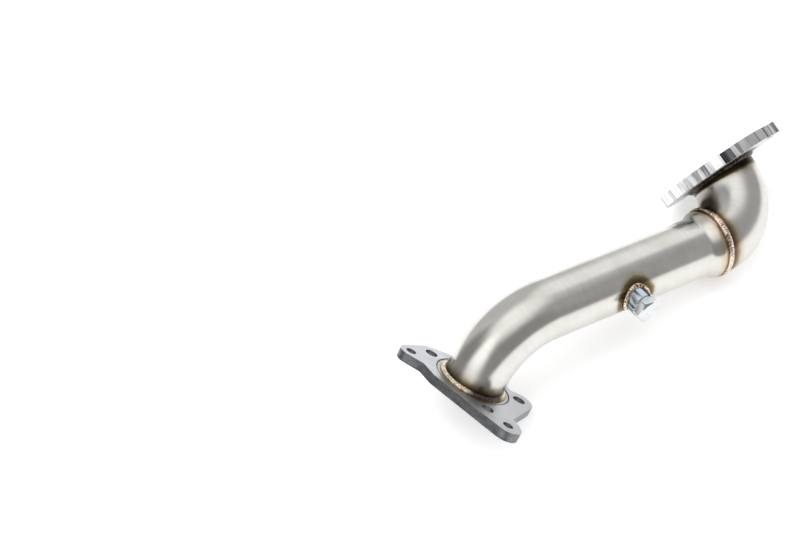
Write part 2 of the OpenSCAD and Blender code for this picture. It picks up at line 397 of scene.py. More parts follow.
WHITE = (1.0, 1.0, 1.0)
PIPE_SIDE = ((0.0, (0.20, 0.13, 0.09)), (0.10, (0.42, 0.30, 0.20)), (0.24, (0.80, 0.70, 0.52)), (0.6, (0.95, 0.92, 0.84)), (1.0, WHITE))
ELBOW_SIDE = ((0.0, (0.15, 0.10, 0.075)), (0.22, (0.28, 0.20, 0.14)), (0.42, (0.58, 0.47, 0.34)), (0.62, (0.88, 0.80, 0.66)), (1.0, WHITE))
FLANGE_SIDE = (
    (0.0, (0.12, 0.08, 0.05)), (0.15, (0.19, 0.135, 0.085)), (0.30, (0.33, 0.26, 0.175)), (0.50, (0.58, 0.53, 0.42)),
    (0.75, (0.86, 0.83, 0.74)), (1.0, WHITE),
)
# Near-black tint beside the turbo flange: partly the weld's real smoke, partly painted shade where the flange shades
# the elbow and its own back face.
SMOKED_AND_SHADED = ((0.0, (0.015, 0.012, 0.01)), (0.36, (0.03, 0.022, 0.016)), (0.50, (0.20, 0.16, 0.10)), (0.66, (0.74, 0.70, 0.54)), (1.0, WHITE))
HALO = ((0.0, (0.12, 0.075, 0.045)), (0.34, (0.24, 0.18, 0.105)), (0.56, (0.42, 0.36, 0.23)), (0.72, (0.82, 0.78, 0.64)), (1.0, WHITE))
# Cream temper colours in the recess, then a dark ring line at the recess wall, about 39 to 40 mm from the axis.
RECESS = (
    (0.0, (0.25, 0.20, 0.15)), (0.10, (0.66, 0.58, 0.46)), (0.32, (0.90, 0.83, 0.70)), (0.58, (0.97, 0.90, 0.78)),
    (0.64, (0.07, 0.06, 0.05)), (0.83, (0.08, 0.07, 0.065)), (0.90, WHITE),
)


@dataclass(frozen=True)
class HeatTint:
    """Temper colours of stainless beside a weld, over a distance from the bead."""

    stops: Tuple[Tuple[float, Triple], ...] = PIPE_SIDE
    reach: float = 12.0
    strength: float = 1.0

    def colour(self, w: Wiring, distance: object) -> bpy.types.NodeSocket:
        """Returns the tint to multiply the steel by, at a distance in millimetres."""
        return w.ramp(w.spread(distance, 0.0, self.reach), self.stops)


@dataclass(frozen=True)
class TubeFinish:
    """Satin stainless tube, brushed round its axis, tinted beside its welds."""

    name: str
    tints: Tuple[HeatTint, HeatTint, HeatTint]
    colour: Triple = (0.73, 0.715, 0.68)
    shade: Triple = (0.66, 0.64, 0.60)
    rough: Tuple[float, float] = (0.17, 0.23)
    brushing: float = 0.001

    def material(self) -> bpy.types.Material:
        """Returns the finish. The mesh keeps the fields unbent and warmth."""
        w = Wiring(self.name)
        unbent = w.attribute("unbent")
        rings = w.noise(w.scaled(unbent, (0.012, 0.012, 2.4)), 1.0, 3.0, 0.6)
        bands = w.noise(w.scaled(unbent, (0.01, 0.01, 0.35)), 1.0, 2.0, 0.6)
        cloud = w.noise(w.scaled(unbent, (0.03, 0.03, 0.03)), 1.0, 3.0, 0.55)
        steel = w.blend("MIX", w.spread(cloud, 0.35, 0.7), self.colour, self.shade)
        steel = w.blend("MULTIPLY", 0.35, steel, w.ramp(bands, ((0.3, (0.88, 0.88, 0.88)), (0.7, WHITE))))
        ragged = w.noise(w.scaled(unbent, (0.16, 0.16, 0.16)), 1.0, 3.0, 0.6)
        shift = w.spread(ragged, 0.25, 0.75, -0.9, 0.9)
        for tint, distance in zip(self.tints, w.parts(w.attribute("warmth"))):
            moved = w.math("ADD", distance, w.math("MULTIPLY", shift, w.spread(distance, 0.0, 6.0, 0.25, 1.0)))
            steel = w.blend("MULTIPLY", tint.strength, steel, tint.colour(w, moved))
        w.bump(rings, self.brushing)
        w.bump(cloud, 0.08)
        return w.metal(steel, w.spread(rings, 0.3, 0.7, *self.rough))


@dataclass(frozen=True)
class PlateFinish:
    """Flange plate: ground faces, dark laser-cut sides with fine striations."""

    name: str
    toe: float
    tint: HeatTint
    face: Triple = (0.56, 0.575, 0.60)
    cut: Triple = (0.26, 0.265, 0.275)
    face_rough: Tuple[float, float] = (0.34, 0.46)
    cut_rough: Tuple[float, float] = (0.28, 0.42)
    striation: float = 0.08
    blotch: float = 0.55
    blotch_band: Tuple[float, float] = (0.34, 0.62)
    blotch_rise: float = 0.25
    notch_shade: Optional[Tuple[float, float]] = None
    tint_rise: Tuple[float, float] = (4.0, 6.0)

    def material(self) -> bpy.types.Material:
        """Returns the finish. The mesh keeps the fields plate and cut."""
        w = Wiring(self.name)
        plate = w.attribute("plate")
        side = w.attribute("cut", vector=False)
        radius = w.reach(plate)
        grain = w.noise(w.scaled(plate, (0.02, 0.9, 0.02)), 1.0, 3.0, 0.6)
        cloud = w.noise(w.scaled(plate, (0.06, 0.06, 0.06)), 1.0, 3.0, 0.6)
        stripes = w.noise(w.scaled(plate, (1.1, 1.1, 0.10)), 1.0, 3.0, 0.6)
        patches = w.noise(w.scaled(plate, (0.10, 0.10, self.blotch_rise)), 1.0, 3.0, 0.65)
        face = w.blend("MULTIPLY", 0.6, self.face, w.ramp(cloud, ((0.3, (0.80, 0.82, 0.84)), (0.65, WHITE))))
        edge = w.blend("MULTIPLY", 0.6, self.cut, w.ramp(stripes, ((0.3, (0.62, 0.62, 0.62)), (0.68, WHITE))))
        low, high = self.blotch_band
        edge = w.blend("MULTIPLY", 0.8, edge, w.ramp(patches, ((low, (self.blotch, self.blotch, self.blotch + 0.02)), (high, WHITE))))
        # Painted shade: cut sides inside the notches, the stud holes and the bore go dark, by radius.
        if self.notch_shade:
            edge = w.blend("MULTIPLY", 1.0, edge, w.ramp(w.spread(radius, *self.notch_shade), ((0.0, (0.10, 0.10, 0.11)), (0.75, (0.30, 0.30, 0.31)), (1.0, WHITE))))
        colour = w.blend("MIX", side, face, edge)
        welded = w.spread(w.parts(plate)[2], *self.tint_rise)
        colour = w.blend("MULTIPLY", welded, colour, self.tint.colour(w, w.math("SUBTRACT", radius, self.toe)))
        height = w.blend("MIX", side, w.scaled(w.math("MULTIPLY", grain, 0.05), (1, 1, 1)), stripes)
        w.bump(height, self.striation)
        rough = w.blend("MIX", side, w.spread(grain, 0.3, 0.7, *self.face_rough), w.spread(stripes, 0.3, 0.7, *self.cut_rough))
        return w.metal(colour, rough)


@dataclass(frozen=True)
class BeadFinish:
    """Weld metal: copper and straw ripples with dark toes; the bright crests are partly painted highlight and the dark
    valleys partly painted shade.
    """

    name: str
    crest: Triple = (0.93, 0.78, 0.62)
    body: Triple = (0.66, 0.45, 0.33)
    valley_shade: Triple = (0.13, 0.075, 0.055)
    dark: Triple = (0.055, 0.035, 0.027)
    rough: Tuple[float, float] = (0.14, 0.30)
    grain: float = 0.35

    def material(self) -> bpy.types.Material:
        """Returns the finish. The mesh keeps the field bead: ripple, across and darkness."""
        w = Wiring(self.name)
        ripple, across, darkness = w.parts(w.attribute("bead"))
        place = w.attribute("place")
        spot = w.noise(w.scaled(place, (self.grain, self.grain, self.grain)), 1.0, 3.0, 0.65)
        patch = w.noise(w.scaled(place, (0.09, 0.09, 0.09)), 1.0, 2.0, 0.5)
        shade = w.math("ADD", ripple, w.spread(spot, 0.3, 0.7, -0.38, 0.38))
        shade = w.math("ADD", shade, w.spread(patch, 0.35, 0.65, -0.25, 0.15))
        # Ripple valleys are painted dark and crests bright: partly the bead's own colour, partly painted shade and
        # highlight.
        colour = w.ramp(shade, ((0.04, self.valley_shade), (0.42, self.body), (0.88, self.crest)))
        toe = w.spread(w.math("ABSOLUTE", across), 0.62, 0.95, 0.0, 0.95)
        colour = w.blend("MIX", toe, colour, self.dark)
        colour = w.blend("MIX", darkness, colour, self.dark)
        w.bump(spot, 0.12)
        return w.metal(colour, w.spread(spot, 0.3, 0.7, *self.rough))


@dataclass(frozen=True)
class TurnedFinish:
    """Turned or plated metal with fine lathe rings, and optional painted reflection: dark, white and cyan bands along
    the axis.
    """

    name: str
    colour: Triple
    shade: Triple
    rough: Tuple[float, float] = (0.12, 0.22)
    ring_pitch: float = 1.6
    # How strongly the painted reflection bands show; 0 leaves them out.
    painted_reflection: float = 0.0

    def material(self) -> bpy.types.Material:
        """Returns the finish. The mesh keeps the field place."""
        w = Wiring(self.name)
        place = w.attribute("place")
        rings = w.noise(w.scaled(place, (0.03, 0.03, self.ring_pitch)), 1.0, 2.0, 0.6)
        cloud = w.noise(w.scaled(place, (0.14, 0.14, 0.14)), 1.0, 3.0, 0.6)
        colour = w.blend("MIX", w.spread(cloud, 0.3, 0.7), self.colour, self.shade)
        # Painted reflection: bands along the axis, dark blue-grey, white and cyan, standing in for the studio mirrored
        # in the turned metal.
        reflection_bands = w.noise(w.scaled(place, (0.30, 0.30, 0.01)), 1.0, 2.0, 0.5)
        colour = w.blend("MULTIPLY", self.painted_reflection, colour, w.ramp(reflection_bands, ((0.42, (0.12, 0.15, 0.18)), (0.50, WHITE), (0.60, (0.78, 0.90, 0.95)))))
        w.bump(rings, 0.01)
        w.bump(cloud, 0.04)
        return w.metal(colour, w.spread(cloud, 0.3, 0.7, *self.rough))


# ---------------------------------------------------------------- the tubes


@dataclass
class Tube:
    """A tube laid along stations of a route, with a wall and clean ends."""

    cols: int = 144
    inner_step: int = 4
    ripple: float = 0.05

    def lay(self, name: str, stations: Sequence[Tuple[Matrix, float, float, float]], heat: Callable[[np.ndarray, float], np.ndarray]) -> bpy.types.Object:
        """Lays the outer face, the ends and the bore as one closed surface.

        Args:
            name: The object's name.
            stations: For each station its frame, distance, outer radius and bore radius.
            heat: Gives the distances to the welds, from world points and the distance along.

        Returns:
            The tube.
        """
        angle = np.linspace(0, 2 * np.pi, self.cols, endpoint=False)
        circle = np.stack([np.cos(angle), np.sin(angle), 0 * angle], -1)
        rows: List[np.ndarray] = []
        unbent: List[np.ndarray] = []
        warm: List[np.ndarray] = []

        def add(place: Matrix, along: float, radius: float, uneven: float) -> None:
            """Adds one ring of points, its surface uneven by a little."""
            offset = np.array([uneven * wobble(x * 1.3, y * 1.3, along / 24.0) for x, y, _ in circle])
            ring = circle * (radius + offset)[:, None]
            points = world_points(ring, place)
            rows.append(points)
            unbent.append(circle * radius + np.array([0, 0, along]))
            warm.append(heat(points, along))

        outer = [(p, s, ro) for p, s, ro, _ in stations]
        bore = [(p, s, ri) for p, s, _, ri in stations]
        keep = sorted({0, len(bore) - 1, *range(0, len(bore), self.inner_step)})
        for place, along, radius in outer:
            add(place, along, radius, self.ripple)
        for index in reversed(keep):
            add(bore[index][0], bore[index][1], bore[index][2], 0.0)
        fields = {"unbent": np.array(unbent), "warmth": np.array(warm)}
        obj = grid_object(name, np.array(rows), fields, wrap_rows=True)
        split_rims(obj)
        return obj


def split_rims(obj: bpy.types.Object, limit_deg: float = 40.0) -> None:
    """Keeps the edges sharper than a limit crisp under smooth shading."""
    bm = bmesh.new()
    bm.from_mesh(obj.data)
    bmesh.ops.recalc_face_normals(bm, faces=bm.faces)
    for edge in bm.edges:
        if len(edge.link_faces) == 2 and edge.calc_face_angle() > math.radians(limit_deg):
            edge.smooth = False
    bm.to_mesh(obj.data)
    bm.free()


@dataclass
class MainPipe:
    """The mandrel-bent tube, with the flare that meets the elbow."""

    route: Route
    radius: float = 31.75
    wall: float = 1.6
    setback: float = 2.5
    flare_length: float = 14.0
    flare_land: float = 6.0
    flare_r: float = 36.5
    root_gap: float = 1.5
    step: float = 1.5
    bead_toe: float = 13.4
    bung_toe: float = 16.4
    weld_toe: float = 3.8

    def flared(self, along: float) -> float:
        """Returns the outer radius at a distance along the straight run."""
        start = self.route.run - self.flare_length - self.flare_land
        t = min(max((along - start) / self.flare_length, 0.0), 1.0)
        return self.radius + (self.flare_r - self.radius) * (1 - math.cos(math.pi * t)) / 2

    def stations(self) -> List[Tuple[Matrix, float, float, float]]:
        """Returns the stations from the outlet flange to the elbow weld."""
        r = self.route
        rows: List[Tuple[Matrix, float, float, float]] = []

        def put(place: Matrix, along: float, radius: float) -> None:
            """Adds a station with the wall inside its radius."""
            rows.append((place, along, radius, radius - self.wall))

        lead_end = r.plate + r.lead
        for s in np.arange(self.setback, lead_end, self.step):
            put(r.outlet() @ Matrix.Translation((0, 0, s)), s, self.radius)
        arc = math.radians(r.bend_angle) * r.bend_r
        for s in np.arange(0, arc, self.step):
            put(r.bend(math.degrees(s / r.bend_r)), lead_end + s, self.radius)
        end = r.run - self.root_gap / 2
        for s in np.append(np.arange(0, end, self.step), end):
            put(r.straight(s), lead_end + arc + s, self.flared(s))
        return rows

    def heat(self, points: np.ndarray, along: float) -> np.ndarray:
        """Returns each point's distances to the outlet bead, the elbow weld and the bung's bead."""
        total = self.route.plate + self.route.lead + math.radians(self.route.bend_angle) * self.route.bend_r + self.route.run
        axis = np.array(self.route.bung())
        rel = points - axis[:3, 3]
        out = rel @ axis[:3, 2]
        flat = np.linalg.norm(rel - out[:, None] * axis[:3, 2], axis=1)
        bung = np.where(out > 0, flat - self.bung_toe, FAR)
        one = np.ones(len(points))
        return np.stack([one * (along - self.bead_toe), one * (total - along - self.weld_toe), bung], -1)

    def build(self, finish: TubeFinish) -> None:
        """Builds the tube in its finish."""
        obj = Tube().lay("bent_tube", self.stations(), self.heat)
        dress(obj, finish.material(), Slot.TUBE, "main_pipe")


@dataclass
class InletElbow:
    """The tight elbow between the straight run and the turbo flange."""

    route: Route
    radius: float = 36.5
    wall: float = 2.0
    root_gap: float = 1.5
    plate: float = 12.5
    setback: float = 2.5
    step: float = 1.2
    weld_toe: float = 3.8
    bead: float = 4.5

    def stations(self) -> List[Tuple[Matrix, float, float, float]]:
        """Returns the stations from the elbow weld into the turbo flange."""
        r = self.route
        bore = self.radius - self.wall
        rows: List[Tuple[Matrix, float, float, float]] = []
        for s in np.arange(self.root_gap / 2, r.elbow_lead, self.step / 2):
            rows.append((r.weld() @ Matrix.Translation((0, 0, s)), s, self.radius, bore))
        arc = math.radians(r.elbow_angle) * r.elbow_r
        for s in np.arange(0, arc, self.step):
            rows.append((r.elbow(math.degrees(s / r.elbow_r)), r.elbow_lead + s, self.radius, bore))
        end = r.elbow_tail + self.plate - self.setback
        for s in np.append(np.arange(0, end, self.step), end):
            rows.append((r.elbow(r.elbow_angle) @ Matrix.Translation((0, 0, s)), r.elbow_lead + arc + s, self.radius, bore))
        return rows

    def heat(self, points: np.ndarray, along: float) -> np.ndarray:
        """Returns each point's distances to the elbow weld and the turbo flange's bead."""
        r = self.route
        flange = r.elbow_lead + math.radians(r.elbow_angle) * r.elbow_r + r.elbow_tail
        one = np.ones(len(points))
        weld = np.array(r.weld())
        turbo = np.array(r.turbo())
        from_weld = (points - weld[:3, 3]) @ weld[:3, 2] - self.weld_toe
        from_flange = -((points - turbo[:3, 3]) @ turbo[:3, 2]) - self.bead
        near_weld = np.where(along < flange / 2 + 20, np.maximum(from_weld, along - self.weld_toe), FAR)
        near_flange = np.where(along > flange / 2 - 20, np.maximum(from_flange, flange - along - self.bead), FAR)
        return np.stack([near_weld, near_flange, one * FAR], -1)

    def build(self, finish: TubeFinish) -> None:
        """Builds the elbow in its finish."""
        obj = Tube(cols=160, ripple=0.07).lay("elbow_tube", self.stations(), self.heat)
        dress(obj, finish.material(), Slot.ELBOW, "inlet_elbow")


# ---------------------------------------------------------------- the flanges


@dataclass
class FlangePlate:
    """A flange plate: the solid's outline with rounded edges, marked for its finish."""

    node: str
    name: str
    place: Matrix
    thickness: float
    slot: Slot
    holes: Tuple[Triple, ...] = ()
    floor: Optional[Triple] = None
    bevel: float = 0.45
    slack: float = 0.05
    hole_cut: float = 0.6

    def build(self, finish: PlateFinish) -> None:
        """Builds the plate in its finish."""
        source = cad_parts[self.node]
        bm = bmesh.new()
        bm.from_mesh(source.data)
        bmesh.ops.remove_doubles(bm, verts=bm.verts, dist=1e-6)
        bmesh.ops.dissolve_limit(bm, angle_limit=math.radians(0.6), verts=bm.verts, edges=bm.edges)
        self.lift_floor(bm)
        rims = [e for e in bm.edges if len(e.link_faces) == 2 and e.calc_face_angle() > math.radians(40)]
        bmesh.ops.bevel(bm, geom=rims, offset=self.bevel * MM, segments=2, profile=0.5, affect="EDGES", clamp_overlap=True)
        mesh = bpy.data.meshes.new(self.name)
        bm.to_mesh(mesh)
        bm.free()
        self.mark(mesh)
        obj = bpy.data.objects.new(self.name, mesh)
        bpy.context.scene.collection.objects.link(obj)
        mesh.polygons.foreach_set("use_smooth", [True] * len(mesh.polygons))
        split_rims(obj, 50.0)
        weigh = obj.modifiers.new("flat faces", "WEIGHTED_NORMAL")
        weigh.keep_sharp = True
        dress(obj, finish.material(), self.slot, self.node)

    def lift_floor(self, bm: bmesh.types.BMesh) -> None:
        """Brings the floor of the recess up to the height that the weld left it at.

        Args:
            bm: The plate's mesh, whose floor is given by its radius, height and rise.
        """
        if self.floor is None:
            return
        radius, height, rise = self.floor
        inverse = self.place.inverted()
        axis = self.place.to_3x3() @ Vector((0, 0, rise * MM))
        for vert in bm.verts:
            local = inverse @ (vert.co / MM)
            if abs(local.z - height) < self.slack and math.hypot(local.x, local.y) < radius:
                vert.co += axis

    def mark(self, mesh: bpy.types.Mesh) -> None:
        """Keeps on each point its place in the plate, and whether it is on a cut side."""
        count = len(mesh.vertices)
        co = np.zeros(count * 3)
        mesh.vertices.foreach_get("co", co)
        inverse = np.array(self.place.inverted())
        local = (co.reshape(-1, 3) / MM) @ inverse[:3, :3].T + inverse[:3, 3]
        depth = np.minimum(local[:, 2], self.thickness - local[:, 2])
        cut = np.zeros(count)
        axis = np.array(self.place)[:3, 2]
        for face in mesh.polygons:
            if abs(float(np.dot(np.array(face.normal), axis))) < 0.5:
                cut[list(face.vertices)] = 1.0
        cut[depth < self.slack] = 0.0
        for pitch, angle, radius in self.holes:
            centre = np.array([math.cos(math.radians(angle)), math.sin(math.radians(angle))]) * pitch
            cut[np.linalg.norm(local[:, :2] - centre, axis=1) < radius + 0.1] = self.hole_cut
        keep_field(mesh, "plate", local)
        keep_field(mesh, "cut", cut[:, None])


# ---------------------------------------------------------------- the welds


@dataclass
class RingBead:
    """A weld bead round a pipe, laid as overlapping ripples."""

    name: str
    place: Matrix
    pitch: float = 2.3
    depth: float = 0.28
    lean: float = 1.6
    wander: float = 0.25
    per_ripple: int = 9
    rough: float = 0.12
    seed: float = 3.0
    darkness: Callable[[float], float] = lambda angle: 0.0

    def ripples(self, radius: float) -> int:
        """Returns how many ripples lie round the bead."""
        return max(12, round(2 * math.pi * radius / self.pitch))

    def lay(self, radius: float, section: Callable[[float, float], Tuple[float, float, float, float]], inner: Sequence[Tuple[float, float]], across: int = 15) -> bpy.types.Object:
        """Lays the bead's face along a section, and closes it inside the metal.

        Args:
            radius: The radius that the ripples are spaced on.
            section: Gives radius, height and the outward normal, from a place across
                the face between -1 and 1 and the wander of the bead's width.
            inner: Radius and height of the points that close the section.
            across: Points across the face.

        Returns:
            The bead.
        """
        count = self.ripples(radius)
        cols = count * self.per_ripple
        points, bead, place = [], [], []
        for c in range(cols):
            angle = 2 * math.pi * c / cols
            ca, sa = math.cos(angle), math.sin(angle)
            width = self.wander * wobble(3.1 * ca, 3.1 * sa, 0.0, self.seed)
            slip = 0.8 * wobble(6.0 * ca, 6.0 * sa, 4.0, self.seed)
            column, marks = [], []
            for k in range(across):
                v = -1 + 2 * k / (across - 1)
                r, h, nr, nh = section(v, width)
                phase = (count * angle / (2 * math.pi) + slip - self.lean * 0.5 * v * v) % 1.0
                crest = phase ** 0.6 * (1.0 - phase ** 7)
                fade = 1.0 - abs(v) ** 3
                lump = self.rough * wobble(ca * radius / 1.7, sa * radius / 1.7, 2.0 * v, self.seed + 5)
                lift = (self.depth * (crest - 0.45) + lump) * fade
                column.append(((r + nr * lift) * ca, (r + nr * lift) * sa, h + nh * lift))
                marks.append((crest, v, self.darkness(math.degrees(angle))))
            for r, h in inner:
                column.append((r * ca, r * sa, h))
                marks.append((0.0, 1.0, 1.0))
            points.append(column)
            bead.append(marks)
            place.append(column)
        local = np.array(points)
        fields = {"bead": np.array(bead), "place": np.array(place)}
        obj = grid_object(self.name, world_points(local, self.place), fields, wrap_rows=True)
        split_rims(obj, 75.0)
        return obj


@dataclass
class FilletBead(RingBead):
    """A bead in the corner between a pipe and a flange."""

    radius: float = 31.75
    leg: float = 3.8
    height: float = 9.6
    side: Side = Side.FRONT
    flatness: float = 0.35

    def section(self, v: float, width: float) -> Tuple[float, float, float, float]:
        """Returns a point of the bead's face and its normal."""
        flat = self.leg * self.flatness
        leg = self.leg + width
        arc = math.hypot(leg + flat, flat)
        start = math.asin(flat / arc)
        angle = start + (math.pi / 2 - 2 * start) * (v + 1) / 2
        r = self.radius - flat + arc * math.cos(angle)
        h = -flat + arc * math.sin(angle)
        return r, self.height + self.side.value * h, math.cos(angle), self.side.value * math.sin(angle)

    def build(self, finish: BeadFinish, slot: Slot, node: str) -> None:
        """Builds the bead in its finish, for its solid."""
        corner = [(self.radius - 0.05, self.height)]
        obj = self.lay(self.radius + self.leg / 2, self.section, corner)
        dress(obj, finish.material(), slot, node)


@dataclass
class ButtBead(RingBead):
    """The crown between the pipe and the elbow, with its root in the gap."""

    radius: float = 36.5
    width: float = 8.0
    height: float = 1.6
    wall: float = 1.6
    gap: float = 1.5

    def section(self, v: float, width: float) -> Tuple[float, float, float, float]:
        """Returns a point of the crown and its normal."""
        half = self.width / 2 + 0.4 * width
        slope = 2 * self.height * v / half
        size = math.hypot(1.0, slope)
        rise = self.height * (1 - v * v)
        return self.radius + rise - 0.03, v * half, 1 / size, slope / size

    def build(self, finish: BeadFinish, slot: Slot, node: str) -> None:
        """Builds the crown in its finish, for its solid."""
        inside = self.radius - self.wall
        foot = [(self.radius - 0.1, self.gap / 2), (inside, self.gap / 2), (inside, -self.gap / 2), (self.radius - 0.1, -self.gap / 2)]
        obj = self.lay(self.radius, self.section, foot)
        dress(obj, finish.material(), slot, node)


@dataclass
class RootBead(RingBead):
    """The small bead inside a flange's bore, against the pipe's end."""

    radius: float = 31.85
    leg: float = 1.7
    height: float = 2.5
    side: Side = Side.FRONT

    def section(self, v: float, width: float) -> Tuple[float, float, float, float]:
        """Returns a point of the bead's face and its normal."""
        angle = (math.pi / 2) * (v + 1) / 2
        leg = self.leg * (1 + 0.1 * width)
        r = self.radius - leg * math.cos(angle)
        h = self.height - self.side.value * leg * math.sin(angle)
        return r, h, -math.cos(angle), -self.side.value * math.sin(angle)

    def build(self, finish: BeadFinish, slot: Slot, node: str) -> None:
        """Builds the bead in its finish, for its solid."""
        obj = self.lay(self.radius, self.section, [(self.radius, self.height)], across=9)
        dress(obj, finish.material(), slot, node)


@dataclass
class SaddleBead:
    """The bead round the bung, on the curve where it meets the pipe."""

    place: Matrix
    bung_r: float = 13.25
    pipe_r: float = 31.75
    leg: float = 3.3
    ripples: int = 26
    per_ripple: int = 12
    depth: float = 0.45
    across: int = 13

    def surface(self, radius: float, angle: float) -> float:
        """Returns the pipe's height at a radius and angle about the bung."""
        return math.sqrt(self.pipe_r ** 2 - (radius * math.sin(angle)) ** 2)

    def build(self, finish: BeadFinish) -> None:
        """Builds the bead in its finish."""
        cols = self.ripples * self.per_ripple
        points, bead = [], []
        for c in range(cols):
            angle = 2 * math.pi * c / cols
            ca, sa = math.cos(angle), math.sin(angle)
            leg = self.leg * (1 + 0.10 * wobble(2.4 * ca, 2.4 * sa, 1.0, 9.0))
            foot = self.surface(self.bung_r, angle)
            toe = self.surface(self.bung_r + leg, angle)
            column, marks = [], []
            for k in range(self.across):
                v = -1 + 2 * k / (self.across - 1)
                turn = (math.pi / 2) * (v + 1) / 2
                bulge = 0.88 + 0.12 * math.sin(2 * turn)
                r = self.bung_r + leg * bulge * math.cos(turn)
                base = toe * math.cos(turn) + foot * (1 - math.cos(turn))
                h = base + leg * bulge * math.sin(turn)
                phase = (c / self.per_ripple + 0.9 * wobble(4 * ca, 4 * sa, 2.0, 9.0) - 0.8 * v * v) % 1.0
                crest = phase ** 0.6 * (1.0 - phase ** 7)
                lift = self.depth * (crest - 0.45) * (1.0 - abs(v) ** 3)
                r += lift * math.cos(turn)
                h += lift * math.sin(turn)
                column.append((r * ca, r * sa, h))
                marks.append((crest, v, 0.0))
            column.append(((self.bung_r - 0.1) * ca, (self.bung_r - 0.1) * sa, foot - 0.3))
            marks.append((0.0, 1.0, 1.0))
            points.append(column)
            bead.append(marks)
        local = np.array(points)
        obj = grid_object("bung_bead", world_points(local, self.place), {"bead": np.array(bead), "place": local}, wrap_rows=True)
        split_rims(obj, 75.0)
        dress(obj, finish.material(), Slot.WELD, "bung_weld")


# ---------------------------------------------------------------- the sensor bung


@dataclass
class SensorBung:
    """The turned bung, its sealing ring and the hexagon plug."""

    place: Matrix
    pipe_r: float = 31.75
    radius: float = 13.25
    height: float = 13.0
    thread_r: float = 9.0
    washer: float = 1.5
    washer_r: float = 12.25
    flats: float = 24.0
    head: float = 8.5
    face_r: float = 10.4
    shank: float = 12.5
    cols: int = 96

    def lathe(self, name: str, section: Sequence[Tuple[float, float]]) -> bpy.types.Object:
        """Turns a closed section about the bung's axis."""
        grid = ring_section(self.place, np.array(section), self.cols)
        local = ring_section(Matrix.Identity(4), np.array(section), self.cols)
        obj = grid_object(name, grid, {"place": local}, wrap_rows=True)
        split_rims(obj, 35.0)
        return obj

    def collar(self, finish: TurnedFinish) -> None:
        """Builds the bung with chamfered ends."""
        top = self.pipe_r + self.height
        r, t, c = self.radius, self.thread_r, 0.9
        foot = self.pipe_r - 1.2
        section = [(r, foot), (r, foot + 3), (r, top - c), (r - 0.12, top - c + 0.3), (r - c, top), (t + 0.9, top), (t, top - 0.9), (t, foot)]
        dress(self.lathe("bung_collar", section), finish.material(), Slot.BUNG, "sensor_bung")

    def ring(self, finish: TurnedFinish) -> None:
        """Builds the sealing ring with rolled edges."""
        low = self.pipe_r + self.height
        high, r, t, c = low + self.washer, self.washer_r, self.thread_r, 0.35
        section = [(t, low), (r - c, low), (r - 0.1, low + 0.1), (r, low + c), (r, high - c), (r - 0.1, high - 0.1), (r - c, high), (t, high)]
        dress(self.lathe("sealing_ring", section), finish.material(), Slot.BUNG, "plug_washer")

    def plug(self, finish: TurnedFinish) -> None:
        """Builds the plug: a hexagon with a turned chamfer, and its shank."""
        base = self.pipe_r + self.height + self.washer
        apothem = self.flats / 2
        corner = apothem / math.cos(math.radians(30))
        cols = 6 * 24
        slope = math.tan(math.radians(30))
        face_r = self.face_r
        rows = [[] for _ in range(9)]
        for c in range(cols):
            angle = 2 * math.pi * c / cols
            hexed = min(apothem / math.cos(angle % (math.pi / 3) - math.pi / 6), corner - 0.12)
            drop = (hexed - face_r) * slope
            ca, sa = math.cos(angle), math.sin(angle)
            low_r = min(hexed, corner - 0.45)
            steps = (
                (self.thread_r - 0.1, base - self.shank),
                (self.thread_r - 0.1, base),
                (low_r - 0.15, base),
                (hexed, base + 0.4),
                (hexed, base + self.head - drop),
                (face_r, base + self.head),
                (face_r * 0.62, base + self.head),
                (face_r * 0.3, base + self.head),
                (0.02, base + self.head),
            )
            for row, (r, h) in zip(rows, steps):
                row.append((r * ca, r * sa, h))
        local = np.array(rows)
        obj = grid_object("hex_plug", world_points(local, self.place), {"place": local}, wrap_rows=False)
        split_rims(obj, 22.0)
        dress(obj, finish.material(), Slot.PLUG, "bung_plug")


# ---------------------------------------------------------------- the studio


@dataclass(frozen=True)
class Panel:
    """A part of the studio round the pipe that its metal reflects, brighter or darker than white."""

    azimuth: float
    elevation: float
    half_width: float
    half_height: float
    value: float
    soft: float = 14.0

    def cover(self, azimuth: float, elevation: float) -> float:
        """Returns how far the panel covers a direction, from 0 to 1."""
        turn = abs((azimuth - self.azimuth + 180) % 360 - 180) - self.half_width
        rise = abs(elevation - self.elevation) - self.half_height
        over = max(turn * math.cos(math.radians(min(elevation, 80))), rise)
        t = min(max(0.5 - over / self.soft, 0.0), 1.0)
        return t * t * (3 - 2 * t)


